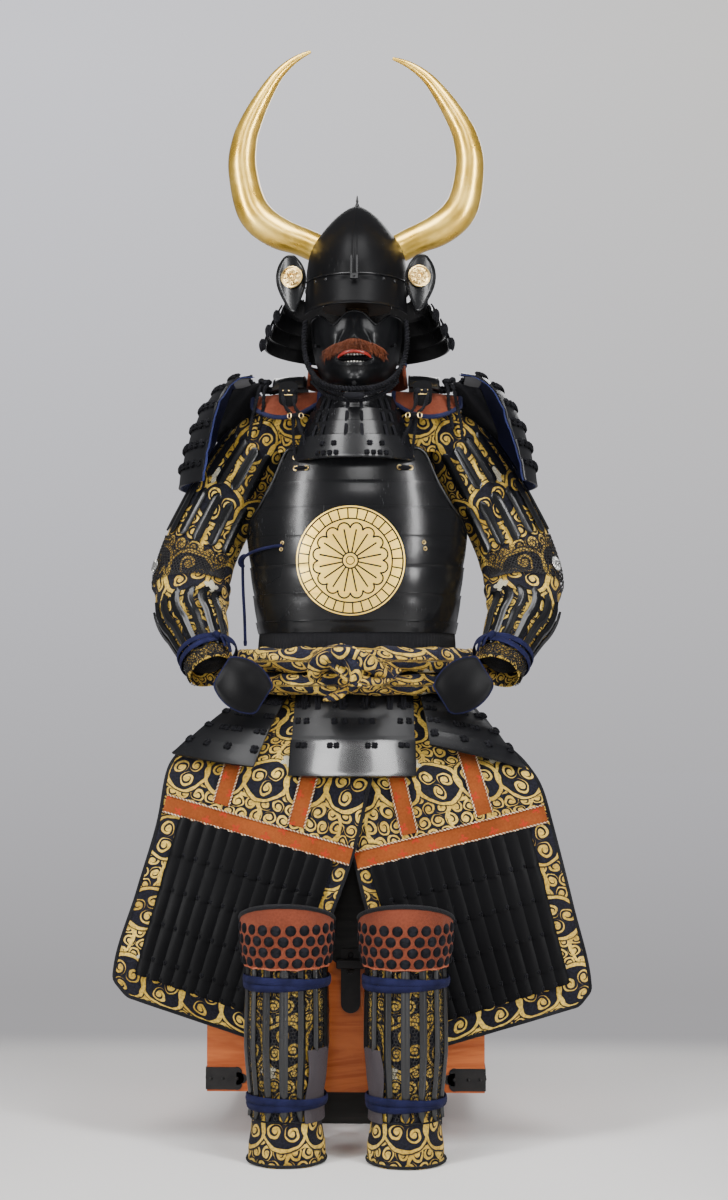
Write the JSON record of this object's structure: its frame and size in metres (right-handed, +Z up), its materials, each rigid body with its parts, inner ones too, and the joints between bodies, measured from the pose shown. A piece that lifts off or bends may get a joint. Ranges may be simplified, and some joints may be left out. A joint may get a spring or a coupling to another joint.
{
  "type": "samurai armour on an armour chest",
  "caption": "Samurai armour with a horned helmet, face mask, lamellar cuirass, brocade sleeves, thigh apron and shin guards, set out on its wooden chest.",
  "frame": {"origin": "on the floor under the middle of the whole outline", "axes": "+Z up; the armour faces -Y; +X is the wearer's left"},
  "size_m": [0.729, 0.608, 1.7576],
  "materials": {
    "lacquer": "satin black lacquer on iron",
    "gold": "gold lacquer on carved wood",
    "brocade": "navy and black brocade with gold scrolls",
    "rust_cloth": "rust patterned silk, quilted on the knees",
    "navy_cloth": "navy cotton and silk braid",
    "black_cord": "black silk braid",
    "cream_cord": "cream and rust twisted piping",
    "fur": "red-brown bristle",
    "leather": "grey-brown smoked leather",
    "gilt_metal": "gilt eyelets, rivets and roundels",
    "black_iron": "black iron mail and chest fittings",
    "red_lacquer": "red lacquer",
    "silver": "silvered teeth",
    "chest_wood": "orange-brown lacquered wood",
    "black_wood": "black lacquered wood",
    "stand_wood": "plain planed wood"
  },
  "bodies": {
    "root": {"chest_body": "chest_wood", "chest_lid": "chest_wood", "chest_plinth": "black_wood", "stand": "stand_wood", "cuirass_front": "lacquer", "cuirass_back": "lacquer", "waist_lacing": "black_cord", "shoulder_strap_right": "lacquer", "shoulder_wing_right": "rust_cloth", "shoulder_strap_left": "lacquer", "shoulder_wing_left": "rust_cloth", "collar": "rust_cloth", "helmet_bowl": "lacquer", "visor": "lacquer", "crest_holder": "lacquer", "helmet_spike": "lacquer", "neck_lame_1": "lacquer", "neck_lame_2": "lacquer", "neck_lame_3": "lacquer", "neck_lame_4": "lacquer", "turnback_right": "lacquer", "horn_right": "gold", "turnback_left": "lacquer", "horn_left": "gold", "mask": "lacquer", "chin_cord": "black_cord", "throat_lame_1": "lacquer", "throat_lame_2": "lacquer", "throat_lame_3": "lacquer", "throat_lame_4": "lacquer", "sleeve_front_right": "brocade", "sleeve_back_right": "brocade", "forearm_splints_right": "lacquer", "hand_guard_right": "lacquer", "shoulder_guard_right": "lacquer", "guard_lining_right": "navy_cloth", "sleeve_front_left": "brocade", "sleeve_back_left": "brocade", "forearm_splints_left": "lacquer", "hand_guard_left": "lacquer", "shoulder_guard_left": "lacquer", "guard_lining_left": "navy_cloth", "sash_upper": "brocade", "sash_lower": "brocade", "sash_knot": "brocade", "tasset_front": "lacquer", "tasset_front_right": "lacquer", "tasset_front_left": "lacquer", "tasset_side_right": "lacquer", "tasset_side_left": "lacquer", "tasset_back_right": "lacquer", "tasset_back_left": "lacquer", "thigh_apron_right": "brocade", "shin_guard_right": "brocade", "knee_pad_right": "rust_cloth", "thigh_apron_left": "brocade", "shin_guard_left": "brocade", "knee_pad_left": "rust_cloth", "side_cord": "navy_cloth"}
  },
  "joints": []
}
